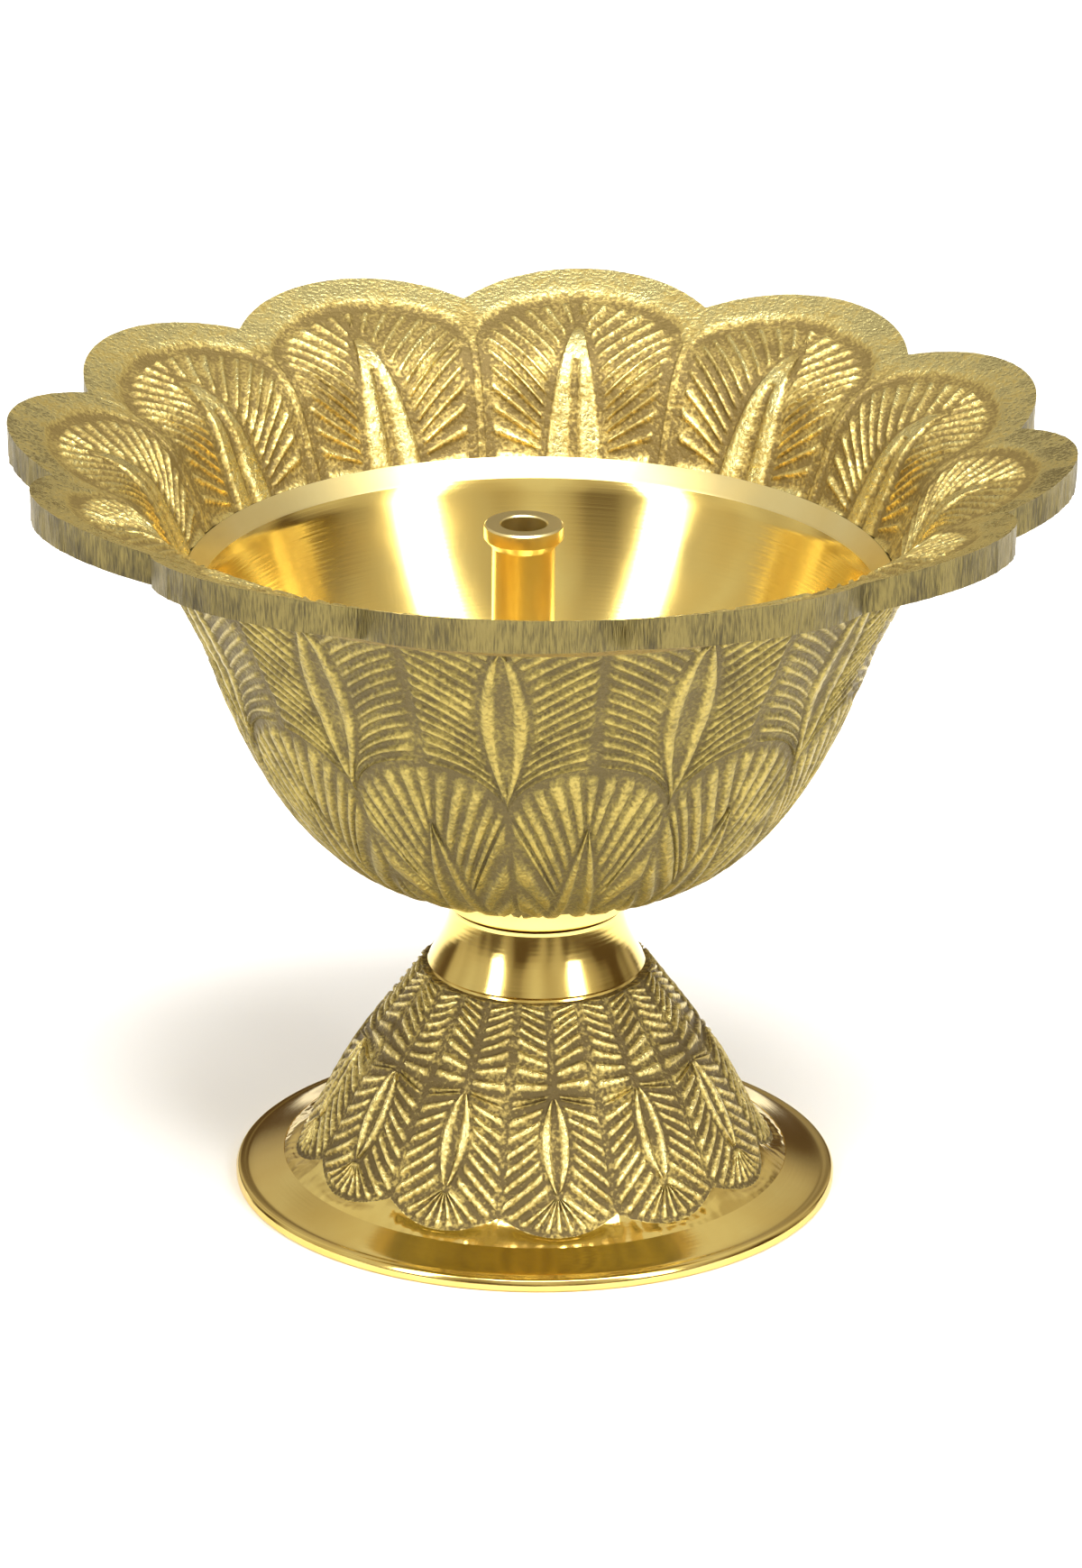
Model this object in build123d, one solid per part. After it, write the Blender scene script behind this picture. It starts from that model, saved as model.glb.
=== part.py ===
from build123d import *
from math import cos, radians, sin, tan
import os

# Diya: a brass oil lamp. A bell foot carries a bowl with a brim of petals, and a
# wick stem stands in the bowl. The lamp screws together at the neck and at the
# stem. Millimetres, +Z up, origin at the centre of the foot's resting face, and
# the tip of one petal lies on +X.

# ---- Foot ----
foot_height = 25.0            # resting face to the neck's top
bell_foot_radius = 21.6       # where the engraved bell meets the flange
bell_foot_height = 2.3
flange_width = 4.1            # the flange, outside the bell's foot
flange_edge_height = 0.7      # the flange's thin outer edge
flange_edge_break = 0.2
flange_bead_height = 1.15     # the flange's top, just inside that edge
flange_bead_inset = 0.6
cove_sag = 0.12               # the flange is this much hollow between its bead and the bell
neck_top_radius = 7.35
neck_height = 5.4             # polished neck, above the engraved bell
bell_flare = 2.55             # the bell's top is this much wider than the neck's top
bell_step = 0.6               # the bell stands this much proud of the neck
bell_step_rise = 0.3
foot_wall = 2.0               # wall of the hollow bell
hollow_mouth_inset = 0.6      # the hollow's mouth, inside the bell's foot
neck_web = 9.5                # solid metal at the neck, above the hollow
mouth_chamfer = 0.4           # at the mouth of the tapped hole

# ---- Joint between the foot and the bowl ----
stud_radius = 3.0             # M6 stud
stud_in_foot = 7.0            # engaged thread below the washer
stud_in_bowl = 3.2            # length fixed in the bowl's boss
stud_chamfer = 0.5
thread_clearance = 0.06       # radial, between a thread's plain cylinders
washer_thickness = 0.4
washer_inset = 0.35           # the washer's edge lies inside the neck's edge

# ---- Bowl ----
base_ring_step = 0.55         # the turned ring on the washer is this much wider than the neck
base_ring_height = 1.6
belly_bottom = 2.2            # lowest point of the belly curve, above the base
bowl_mouth_radius = 28.8      # outside, just below the brim
bowl_depth = 22.6             # belly curve, from its lowest point to the mouth
belly_power = 3.8             # the belly follows height = depth * (r / mouth) ** power
lip_inset = 0.2               # sharp inner edge of the lip ring, inside the mouth's radius
lip_rise = 3.0                # from the mouth to that edge
lip_ring_width = 2.0
lip_ring_slope = 51.0         # degrees
floor_thickness = 3.2         # from the belly curve's lowest point to the cup's floor
cup_power = 3.2

# ---- Brim: flares like a trumpet and is cut into round petals ----
petal_count = 12
brim_reach = 16.2             # petal tips beyond the mouth's radius
notch_depth = 3.9             # the notches' bottoms inside the tips' radius
brim_rise = 12.4              # from the lip ring's outer edge to the petal tips
rim_height = 2.9              # cut edge of the brim, at the tips
root_slope = 66.0             # degrees, upper face beside the lip ring
brim_slope = 20.5             # degrees, upper face at the tips
bend_radius = 7.0             # upper face, between those two slopes
under_root_slope = 63.6       # the same for the underside
under_slope = 17.5
under_bend_radius = 8.0

# ---- Wick stem ----
stem_offset = -1.35           # the stem stands beside the bowl's axis, towards -X
boss_margin = 0.25            # the raised boss that it screws into, outside the washer
boss_height = 2.4
boss_floor_overlap = 1.0      # the boss starts this far below the cup's floor
stem_radius = 2.65
collar_step = 0.7             # the collar's edge outside the stem
collar_height = 1.25
collar_chamfer = 0.75         # conical underside of the collar
collar_edge_break = 0.15
stem_top_above_lip = 6.0      # the collar's top above the lip's sharp edge
stem_wall = 0.7               # wall round the wick bore
bore_floor = 1.6              # solid metal between the shoulder and the wick bore
slot_width = 2.4              # two slots let oil and wick into the bore
slot_height = 5.0
tail_radius = 1.5             # M3 tail
tail_length = 3.5
tail_chamfer = 0.35
hole_end_gap = 0.3            # a tapped hole is this much deeper than its thread
seal_step = 0.65              # the leather washer's edge outside the stem
seal_thickness = 0.5

# ---- Sizes and heights that follow from the ones above ----
flange_radius = bell_foot_radius + flange_width
bell_top_radius = neck_top_radius + bell_flare
bell_top_height = foot_height - neck_height
base_ring_radius = neck_top_radius + base_ring_step
lip_radius = bowl_mouth_radius - lip_inset
tip_radius = bowl_mouth_radius + brim_reach
notch_radius = tip_radius - notch_depth
collar_radius = stem_radius + collar_step
wick_bore_radius = stem_radius - stem_wall
seal_radius = stem_radius + seal_step
boss_radius = abs(stem_offset) + seal_radius + boss_margin
base_z = foot_height + washer_thickness
belly_z = base_z + belly_bottom
mouth_z = belly_z + bowl_depth
lip_z = mouth_z + lip_rise
floor_z = belly_z + floor_thickness
cup_depth = lip_z - floor_z
ring_radius = lip_radius + lip_ring_width * cos(radians(lip_ring_slope))
ring_z = lip_z + lip_ring_width * sin(radians(lip_ring_slope))
tip_z = ring_z + brim_rise
seat_z = floor_z + boss_height
shoulder_z = seat_z + seal_thickness
stem_top_z = lip_z + stem_top_above_lip
hollow_top_z = foot_height - neck_web
TOP_Z = tip_z + 5             # above everything
BRIM_SPARE = 2                # the brim is turned this much too wide, then cut to its petals
BELLY_SHARES = [0.36, 0.48, 0.6, 0.7, 0.8, 0.9, 1.0]
CUP_FLAT = 0.2                # share of the lip's radius where the cup's floor is flat
NECK_WAIST = (0.36, 0.48)     # shares of the neck's flare and fall at its waist
BELL_SHARES = [(0.16, 0.1), (0.36, 0.36), (0.55, 0.58)]     # of the bell's run and rise
HOLLOW_WAIST = (0.4, 0.38)    # the same for the hollow's waist
WAIST_WALL = 0.6              # share of the wall between bell and hollow in height, at the waist
SHOULDER_WALL = 0.4           # share of the wall between them in radius, at the hollow's top


def turned(outline):
    """A solid of revolution about +Z from a closed outline of radius and height."""
    return revolve(make_face(Plane.XZ * outline), Axis.Z)


def rod(radius, bottom, top, x=0):
    return Pos(x, 0, bottom) * Cylinder(radius, top - bottom, align=(Align.CENTER, Align.CENTER, Align.MIN))


def power_curve(radius, bottom, depth, power):
    """A bowl's half profile, from near the axis to its mouth, as a smooth spline."""
    points = [(radius * share, bottom + depth * share**power) for share in BELLY_SHARES]
    return Spline(points)


def make_foot():
    neck_foot = (bell_top_radius - bell_step, bell_top_height + bell_step_rise)
    bell_top = (bell_top_radius, bell_top_height)
    bell_foot = (bell_foot_radius, bell_foot_height)
    edge_radius = flange_radius - flange_edge_break
    edge_bend = (edge_radius, flange_bead_height - flange_edge_break / 2)
    bead = (flange_radius - flange_bead_inset, flange_bead_height)
    cove = ((bell_foot_radius + bead[0]) / 2, (bell_foot_height + flange_bead_height) / 2 - cove_sag)
    neck_waist = (
        neck_top_radius + NECK_WAIST[0] * (neck_foot[0] - neck_top_radius),
        foot_height - NECK_WAIST[1] * (foot_height - neck_foot[1]),
    )
    bell_rise = bell_top_height - bell_foot_height
    bell_run = bell_foot_radius - bell_top_radius
    bell_middle = [
        (bell_foot_radius - inward * bell_run, bell_foot_height + upward * bell_rise)
        for inward, upward in BELL_SHARES
    ]
    bell = Spline(bell_foot, *bell_middle, bell_top)
    outside = (
        Line((0, 0), (edge_radius, 0))
        + Line((edge_radius, 0), (flange_radius, flange_edge_break))
        + Line((flange_radius, flange_edge_break), (flange_radius, flange_edge_height))
        + ThreePointArc((flange_radius, flange_edge_height), edge_bend, bead)
        + ThreePointArc(bead, cove, bell_foot)
        + bell
        + Line(bell_top, neck_foot)
        + Spline(neck_foot, neck_waist, (neck_top_radius, foot_height))
        + Line((neck_top_radius, foot_height), (0, foot_height))
        + Line((0, foot_height), (0, 0))
    )
    hollow_foot = (bell_foot_radius - hollow_mouth_inset, 0)
    hollow_waist = (
        bell_foot_radius - HOLLOW_WAIST[0] * bell_run - foot_wall,
        bell_foot_height + HOLLOW_WAIST[1] * bell_rise - WAIST_WALL * foot_wall,
    )
    hollow_top = (bell_top_radius - SHOULDER_WALL * foot_wall, hollow_top_z)
    hollow = (
        Line((0, 0), hollow_foot)
        + Spline(hollow_foot, hollow_waist, hollow_top)
        + Line(hollow_top, (0, hollow_top_z))
        + Line((0, hollow_top_z), (0, 0))
    )
    hole_radius = stud_radius + thread_clearance
    hole = rod(hole_radius, hollow_top_z - 1, foot_height + 1)
    countersink = Pos(0, 0, foot_height - mouth_chamfer / 2) * Cone(
        hole_radius, hole_radius + mouth_chamfer, mouth_chamfer
    )
    return turned(outside) - turned(hollow) - hole - countersink


def make_joint_washer():
    ring = rod(neck_top_radius - washer_inset, foot_height, foot_height + washer_thickness)
    return ring - rod(stud_radius + thread_clearance, foot_height - 1, foot_height + washer_thickness + 1)


def make_joining_stud():
    bottom = foot_height - stud_in_foot
    stud = rod(stud_radius, bottom, base_z + stud_in_bowl)
    return chamfer(stud.edges().sort_by(Axis.Z)[0], stud_chamfer)


def meet(low, low_slope, high, high_slope):
    """The corner where a line leaving low meets a line arriving at high, by their slopes."""
    low_rise = tan(radians(low_slope))
    high_rise = tan(radians(high_slope))
    radius = (high[1] - low[1] + low_rise * low[0] - high_rise * high[0]) / (low_rise - high_rise)
    return (radius, low[1] + low_rise * (radius - low[0]))


def brim_curve(low, low_slope, tip, tip_slope, bend):
    """A steep run, a bend and a flat run that goes on past the tip."""
    corner = meet(low, low_slope, tip, tip_slope)
    past = (tip[0] + BRIM_SPARE, tip[1] + BRIM_SPARE * tan(radians(tip_slope)))
    return FilletPolyline(low, corner, past, radius=bend), past


def petal_plan():
    """The brim's plan: a ring of round petals with sharp notches between them."""
    step = 360 / petal_count
    edges = Curve()
    for number in range(petal_count):
        middle = number * step
        start = Vector(notch_radius, 0).rotate(Axis.Z, middle - step / 2)
        tip = Vector(tip_radius, 0).rotate(Axis.Z, middle)
        end = Vector(notch_radius, 0).rotate(Axis.Z, middle + step / 2)
        edges += ThreePointArc(start, tip, end)
    return make_face(edges)


def make_bowl():
    belly_start = (BELLY_SHARES[0] * bowl_mouth_radius, belly_z + bowl_depth * BELLY_SHARES[0] ** belly_power)
    ring_top = (base_ring_radius, base_z + base_ring_height)
    under_tip = (tip_radius, tip_z - rim_height)
    underside, under_end = brim_curve(
        (bowl_mouth_radius, mouth_z), under_root_slope, under_tip, under_slope, under_bend_radius
    )
    outside = (
        Line((0, base_z), (base_ring_radius, base_z))
        + Line((base_ring_radius, base_z), ring_top)
        + Line(ring_top, belly_start)
        + power_curve(bowl_mouth_radius, belly_z, bowl_depth, belly_power)
        + underside
        + Line(under_end, (under_end[0], TOP_Z))
        + Line((under_end[0], TOP_Z), (0, TOP_Z))
        + Line((0, TOP_Z), (0, base_z))
    )
    floor_edge = (CUP_FLAT * lip_radius, floor_z)
    cup_start = (BELLY_SHARES[0] * lip_radius, floor_z + cup_depth * BELLY_SHARES[0] ** cup_power)
    upper, upper_end = brim_curve(
        (ring_radius, ring_z), root_slope, (tip_radius, tip_z), brim_slope, bend_radius
    )
    inside = (
        Line((0, floor_z), floor_edge)
        + Line(floor_edge, cup_start)
        + power_curve(lip_radius, floor_z, cup_depth, cup_power)
        + Line((lip_radius, lip_z), (ring_radius, ring_z))
        + upper
        + Line(upper_end, (upper_end[0], TOP_Z + 1))
        + Line((upper_end[0], TOP_Z + 1), (0, TOP_Z + 1))
        + Line((0, TOP_Z + 1), (0, floor_z))
    )
    plan = Pos(0, 0, base_z - 1) * extrude(petal_plan(), TOP_Z - base_z + 2)
    bowl = (turned(outside) - turned(inside)) & plan
    bowl += rod(boss_radius, floor_z - boss_floor_overlap, seat_z)
    bowl -= rod(stud_radius, base_z - 1, base_z + stud_in_bowl)
    tail_hole_bottom = shoulder_z - tail_length - hole_end_gap
    return bowl - rod(tail_radius + thread_clearance, tail_hole_bottom, seat_z + 1, stem_offset)


def make_stem_washer():
    ring = rod(seal_radius, seat_z, shoulder_z, stem_offset)
    return ring - rod(tail_radius + thread_clearance, seat_z - 1, shoulder_z + 1, stem_offset)


def make_wick_stem():
    tail_z = shoulder_z - tail_length
    collar_z = stem_top_z - collar_height
    outline = Polyline(
        (0, tail_z),
        (tail_radius - tail_chamfer, tail_z),
        (tail_radius, tail_z + tail_chamfer),
        (tail_radius, shoulder_z),
        (stem_radius, shoulder_z),
        (stem_radius, collar_z - collar_chamfer),
        (collar_radius, collar_z),
        (collar_radius, stem_top_z - collar_edge_break),
        (collar_radius - collar_edge_break, stem_top_z),
        (0, stem_top_z),
        (0, tail_z),
    )
    bore_z = shoulder_z + bore_floor
    stem = Pos(stem_offset, 0, 0) * turned(outline)
    stem -= rod(wick_bore_radius, bore_z, stem_top_z + 1, stem_offset)
    slot = Pos(stem_offset, 0, bore_z + slot_height / 2) * Box(4 * stem_radius, slot_width, slot_height)
    return stem - slot


parts = {
    "foot": make_foot(),
    "joint_washer": make_joint_washer(),
    "bowl": make_bowl(),
    "joining_stud": make_joining_stud(),
    "stem_washer": make_stem_washer(),
    "wick_stem": make_wick_stem(),
}
os.makedirs("parts", exist_ok=True)
for name, shape in parts.items():
    export_step(shape, f"parts/{name}.step")
print(f"petal tip height {parts['bowl'].bounding_box().max.Z:.2f}, stem top {stem_top_z:.2f}")
print(f"lip {lip_z:.2f}, floor {floor_z:.2f}, shoulder {shoulder_z:.2f}, tail hole over stud hole "
      f"{shoulder_z - tail_length - hole_end_gap - base_z - stud_in_bowl:.2f}")
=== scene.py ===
import random
from bisect import bisect_right
from math import atan2, cos, floor, hypot, pi, radians, sin, tan
import bmesh
import bpy
from mathutils import Matrix, Vector, noise


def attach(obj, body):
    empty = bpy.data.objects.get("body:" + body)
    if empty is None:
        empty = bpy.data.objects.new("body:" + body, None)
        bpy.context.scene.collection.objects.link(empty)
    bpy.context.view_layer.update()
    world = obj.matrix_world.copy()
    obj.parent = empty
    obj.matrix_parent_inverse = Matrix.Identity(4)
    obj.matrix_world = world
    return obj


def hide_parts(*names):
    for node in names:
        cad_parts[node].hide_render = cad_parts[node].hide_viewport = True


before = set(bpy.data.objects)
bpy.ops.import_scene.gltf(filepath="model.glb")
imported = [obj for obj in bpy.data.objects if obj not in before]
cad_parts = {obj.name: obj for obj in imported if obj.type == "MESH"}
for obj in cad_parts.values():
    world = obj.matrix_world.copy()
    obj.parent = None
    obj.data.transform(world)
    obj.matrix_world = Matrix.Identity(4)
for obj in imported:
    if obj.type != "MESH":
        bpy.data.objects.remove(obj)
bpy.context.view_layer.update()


# ---- Neck, flange and hollow of the foot ---------------------------------------------
# The foot is one sand casting of yellow brass. Its neck, its flange, the hollow below and
# the edge it stands on were cut on a lathe and buffed, so they are smooth all round.
# These are its turned surfaces, in one closed shell.
MM = 0.001                       # sizes are in millimetres, and Blender's units are metres
FOOT_HEIGHT = 25.0
FLANGE_RADIUS = 25.7
FLANGE_BREAK = 0.2               # the broken edge under the flange
BELL_TOP = (9.9, 19.6)           # points are a radius and a height
BELL_FOOT = (21.6, 2.3)
HOLLOW_MOUTH = 21.0
HOLLOW_TOP = 15.5
STUD_HOLE = 3.06
ROUND_STEPS = 192


def colour(code):
    """The linear colour of an sRGB hex value."""
    channels = [int(code[start:start + 2], 16) / 255 for start in (1, 3, 5)]
    linear = [c / 12.92 if c <= 0.04045 else ((c + 0.055) / 1.055) ** 2.4 for c in channels]
    return (*linear, 1.0)


def add(tree, kind, inputs=None, **settings):
    """Adds one node with its settings, and values or links for its inputs."""
    made = tree.nodes.new(kind)
    for name, value in settings.items():
        setattr(made, name, value)
    for socket, value in (inputs or {}).items():
        if isinstance(value, bpy.types.NodeSocket):
            tree.links.new(value, made.inputs[socket])
        else:
            made.inputs[socket].default_value = value
    return made


def smooth_step(low, high, value):
    """A smooth rise from nought to one, between two limits that may run downwards."""
    share = min(1.0, max(0.0, (value - low) / (high - low)))
    return share * share * (3 - 2 * share)


def flow(points, steps=8):
    """A smooth line through points of radius and height, in millimetres."""
    first = [2 * a - b for a, b in zip(points[0], points[1])]
    last = [2 * a - b for a, b in zip(points[-1], points[-2])]
    spread = [first, *points, last]
    line = []
    for before, start, end, after in zip(spread, spread[1:], spread[2:], spread[3:]):
        for step in range(steps):
            t = step / steps
            line.append(tuple(
                0.5 * (2 * b + (c - a) * t + (2 * a - 5 * b + 4 * c - d) * t**2
                       + (3 * b - a - 3 * c + d) * t**3)
                for a, b, c, d in zip(before, start, end, after)
            ))
    return [*line, tuple(points[-1])]


def turn(bm, outline, offset=0.0, closed=True, steps=ROUND_STEPS):
    """Spins an outline of radius and height, in millimetres, about an upright axis at X = offset."""
    ring = [bm.verts.new(((offset + radius) * MM, 0, height * MM)) for radius, height in outline]
    ends = [*ring[1:], ring[0]] if closed else ring[1:]
    edges = [bm.edges.new(pair) for pair in zip(ring, ends)]
    bmesh.ops.spin(
        bm, geom=[*ring, *edges], cent=(offset * MM, 0, 0), axis=(0, 0, 1), dvec=(0, 0, 0),
        angle=2 * pi, steps=steps, use_merge=True, use_normal_flip=False, use_duplicate=False,
    )
    bmesh.ops.remove_doubles(bm, verts=bm.verts, dist=1e-6)


def finish_piece(name, bm, materials, body, node, crease=35):
    """Turns a closed mesh into a named piece that rides on a body and stands for a CAD node."""
    bmesh.ops.recalc_face_normals(bm, faces=bm.faces)
    for face in bm.faces:
        face.smooth = True
    for edge in bm.edges:
        edge.smooth = edge.calc_face_angle(0) < radians(crease)
    mesh = bpy.data.meshes.new(name)
    bm.to_mesh(mesh)
    bm.free()
    for material in materials:
        mesh.materials.append(material)
    piece = bpy.data.objects.new(name, mesh)
    bpy.context.scene.collection.objects.link(piece)
    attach(piece, body)
    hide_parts(node)
    return piece


# Yellow brass, turned and buffed: a warm mirror with fine rings left by the tool and
# faint clouds of tarnish 6 mm across. The tool left its rings closer together than the
# 0.25 mm that they are drawn at, which is the finest that shows.
def buffed_brass(name, bright, tarnished, smoothest, roughest):
    material = bpy.data.materials.new(name)
    material.use_nodes = True
    tree = material.node_tree
    shader = tree.nodes["Principled BSDF"]
    place = add(tree, "ShaderNodeTexCoord").outputs["Object"]
    parted = add(tree, "ShaderNodeSeparateXYZ", {0: place})
    flat = add(tree, "ShaderNodeVectorMath", {0: place, 1: (1, 1, 0)}, operation="MULTIPLY")
    reach = add(tree, "ShaderNodeVectorMath", {0: flat.outputs[0]}, operation="LENGTH")
    across = add(tree, "ShaderNodeCombineXYZ", {"X": reach.outputs["Value"], "Z": parted.outputs["Z"]})
    rings = add(tree, "ShaderNodeTexNoise", {
        "Vector": across.outputs[0], "Scale": 1 / (0.25 * MM), "Detail": 2.0,
    })
    clouds = add(tree, "ShaderNodeTexNoise", {"Vector": place, "Scale": 1 / (6 * MM), "Detail": 4.0})
    tarnish = add(tree, "ShaderNodeMix", {
        0: clouds.outputs["Fac"], 6: colour(bright), 7: colour(tarnished),
    }, data_type="RGBA")
    gloss = add(tree, "ShaderNodeMapRange", {
        "Value": clouds.outputs["Fac"], "To Min": smoothest, "To Max": roughest,
    })
    bump = add(tree, "ShaderNodeBump", {
        "Height": rings.outputs["Fac"], "Strength": 0.3, "Distance": 0.02 * MM,
    })
    tree.links.new(tarnish.outputs[2], shader.inputs["Base Color"])
    tree.links.new(gloss.outputs["Result"], shader.inputs["Roughness"])
    tree.links.new(bump.outputs["Normal"], shader.inputs["Normal"])
    shader.inputs["Metallic"].default_value = 1.0
    return material


# Buffed to a mirror, where it gives sharp reflections of the room.
polished_brass = buffed_brass("yellow_brass_buffed", "#F6E08C", "#E6C264", 0.06, 0.2)
# Left as it came off the lathe, where it is paler and only gleams.
satin_brass = buffed_brass("yellow_brass_turned_satin", "#F0E0A2", "#D9C07A", 0.22, 0.4)

bell_run = BELL_FOOT[0] - BELL_TOP[0]
bell_rise = BELL_TOP[1] - BELL_FOOT[1]
bell_line = flow([
    BELL_TOP,
    (BELL_FOOT[0] - 0.55 * bell_run, BELL_FOOT[1] + 0.58 * bell_rise),
    (BELL_FOOT[0] - 0.36 * bell_run, BELL_FOOT[1] + 0.36 * bell_rise),
    (BELL_FOOT[0] - 0.16 * bell_run, BELL_FOOT[1] + 0.10 * bell_rise),
    BELL_FOOT,
], steps=12)
neck_line = flow([(7.35, FOOT_HEIGHT), (7.4, 24.5), (8.05, 22.45), (9.3, 19.9)])
flange_line = flow([
    BELL_FOOT, (23.4, 1.6), (24.6, 1.2), (25.1, 1.15), (25.5, 1.05), (FLANGE_RADIUS, 0.75),
], steps=6)
hollow_line = flow([(HOLLOW_MOUTH, 0.0), (14.92, 7.67), (9.1, HOLLOW_TOP)], steps=8)
behind_bell = [(radius - 0.75, height - 0.2) for radius, height in bell_line[1:-6]]
foot_outline = [
    *neck_line, (9.0, BELL_TOP[1]), *behind_bell, (20.2, 2.0), (20.9, 1.6), *flange_line,
    (FLANGE_RADIUS, FLANGE_BREAK), (FLANGE_RADIUS - FLANGE_BREAK, 0.0), *hollow_line,
    (STUD_HOLE, HOLLOW_TOP), (STUD_HOLE, FOOT_HEIGHT - 0.4), (STUD_HOLE + 0.4, FOOT_HEIGHT),
]
bm = bmesh.new()
turn(bm, foot_outline)
finish_piece("foot_neck_and_flange", bm, [polished_brass], "foot", "foot")


# ---- Engraved bell of the foot -------------------------------------------------------
# The bell keeps its cast skin. Two tiers of twelve feathered leaves were chased into
# the pattern that it was cast from, and the recesses hold a brown patina that the buff
# didn't reach. Each leaf is laid out in rows that run along its grooves.
LEAVES = 12
HALF = pi / LEAVES               # half the angle of one leaf
FOOT_TURN = radians(-18.5)       # the foot screwed home this far round from the bowl
GROOVE_DEPTH = 0.28
BELL_SUNK = 0.8                  # the share of that depth which lies below the bell's plain skin
SKIN_DENT = 0.055                # how far the sand of the mould dented the skin
WELD = 2e-6                      # points closer than this, in metres, are one


def along(points, facing):
    """A surface of revolution: a function of angle, distance along the outline and lift."""
    lengths = [0.0]
    for start, end in zip(points, points[1:]):
        lengths.append(lengths[-1] + hypot(end[0] - start[0], end[1] - start[1]))
    normals = []
    for before, after in zip([points[0], *points], [*points[1:], points[-1]]):
        run, rise = after[0] - before[0], after[1] - before[1]
        size = hypot(run, rise)
        normals.append((-facing * rise / size, facing * run / size))

    def find(distance):
        number = min(len(points) - 2, max(0, bisect_right(lengths, distance) - 1))
        share = (distance - lengths[number]) / (lengths[number + 1] - lengths[number])
        return number, share

    def at(distance):
        number, share = find(distance)
        start, end = points[number], points[number + 1]
        return start[0] + share * (end[0] - start[0]), start[1] + share * (end[1] - start[1])

    def put(angle, distance, lift):
        number, share = find(distance)
        radius, height = at(distance)
        first, second = normals[number], normals[number + 1]
        radius += lift * (first[0] + share * (second[0] - first[0]))
        height += lift * (first[1] + share * (second[1] - first[1]))
        return Vector((radius * cos(angle), radius * sin(angle), height)) * MM

    def distance_to_height(height):
        for number, (start, end) in enumerate(zip(points, points[1:])):
            if min(start[1], end[1]) <= height <= max(start[1], end[1]):
                share = abs(height - start[1]) / hypot(1e-9, end[1] - start[1])
                return lengths[number] + share * (lengths[number + 1] - lengths[number])
        raise ValueError(f"no point at height {height}")

    return at, put, distance_to_height, lengths[-1]


def ridge(phase, groove=0.4):
    """One on a ridge's crest and nought in the groove's floor, whose share of the width is given."""
    return smooth_step(groove, groove + 0.38, abs(2 * (phase - floor(phase)) - 1))


def closed_below(width, least=0.05):
    """A width, or nought where it is too thin to keep its points apart."""
    return width if width > least else 0.0


def lens(share, width):
    """The width of a leaf that is pointed at both ends, a share of the way along it."""
    return closed_below(width * max(0.0, sin(pi * min(1.0, max(0.0, share)))) ** 0.75)


def new_skin():
    """An empty mesh whose points also say how deep in the patina they lie."""
    bm = bmesh.new()
    return bm, bm.verts.layers.float.new("patina")


def weave(bm, worn, rows, spans, strand, relief, put, at, middle, side, wander=0.0, bow=None,
          material=0):
    """Lays one half leaf: each row is a strand from the leaf's middle to its edge.

    strand(row) gives the places where the strand passes from one span to the next, as
    distance across and distance along in millimetres. relief(row, span, share) gives
    the lift in millimetres and how deep in the patina the surface lies, from 0 to 1.
    wander shifts the grooves by so many rows, as no two leaves were cut quite alike.
    """
    columns = sum(spans)
    steps = [(span, step / count) for span, count in enumerate(spans) for step in range(count)]
    steps.append((len(spans) - 1, 1.0))
    strands = [
        [(across / at(down)[0], down) for across, down in strand(row)] for row in range(rows + 1)
    ]
    grid = bmesh.ops.create_grid(bm, x_segments=columns, y_segments=rows, size=1.0)
    for vert in grid["verts"]:
        column = round((vert.co.x + 1) * columns / 2)
        row = round((vert.co.y + 1) * rows / 2)
        span, share = steps[column]
        near, far = strands[row][span], strands[row][span + 1]
        angle = near[0] + share * (far[0] - near[0])
        down = near[1] + share * (far[1] - near[1])
        if bow:
            down += bow(row, angle / HALF)
        closed = near == far and span < len(spans) - 1
        cut_row = row + wander * sin(pi * row / rows) * sin(pi * column / columns)
        lift, depth = relief(cut_row, span + 1, 0) if closed else relief(cut_row, span, share)
        skin = put(middle + side * angle, down, 0) / MM
        lift += SKIN_DENT * (noise.noise(skin / 0.7) - 1)
        vert.co = put(middle + side * angle, down, lift)
        vert[worn] = depth + 0.35 * noise.noise(skin / 2.2)
        for face in vert.link_faces:
            face.material_index = material


def weld(bm):
    """Joins the leaves of a skin where they meet, and takes out what has closed to nothing."""
    bmesh.ops.remove_doubles(bm, verts=bm.verts, dist=WELD)
    bmesh.ops.dissolve_degenerate(bm, edges=bm.edges, dist=1e-7)


def rim_loops(bm):
    """The open edges of a sheet about the axis, as its inner and its outer loop."""
    loops = []
    open_edges = {edge for edge in bm.edges if edge.is_boundary}
    while open_edges:
        loop, front = set(), [open_edges.pop()]
        while front:
            edge = front.pop()
            loop.add(edge)
            near = [other for vert in edge.verts for other in vert.link_edges if other in open_edges]
            open_edges.difference_update(near)
            front.extend(near)
        loops.append(list(loop))
    return sorted(loops, key=lambda loop: sum(edge.verts[0].co.xy.length for edge in loop) / len(loop))


def draw_out(bm, edges, move, material=0):
    """Extrudes a loop and moves each new point with a function of its old place."""
    made = bmesh.ops.extrude_edge_only(bm, edges=edges)["geom"]
    for item in made:
        if isinstance(item, bmesh.types.BMVert):
            item.co = move(item.co)
        elif isinstance(item, bmesh.types.BMFace):
            item.material_index = material
    return [item for item in made if isinstance(item, bmesh.types.BMEdge) and item.is_boundary]


def inward(depth):
    """A move towards the axis, in millimetres."""
    return lambda place: place - Vector((place.x, place.y, 0)).normalized() * depth * MM


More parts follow.
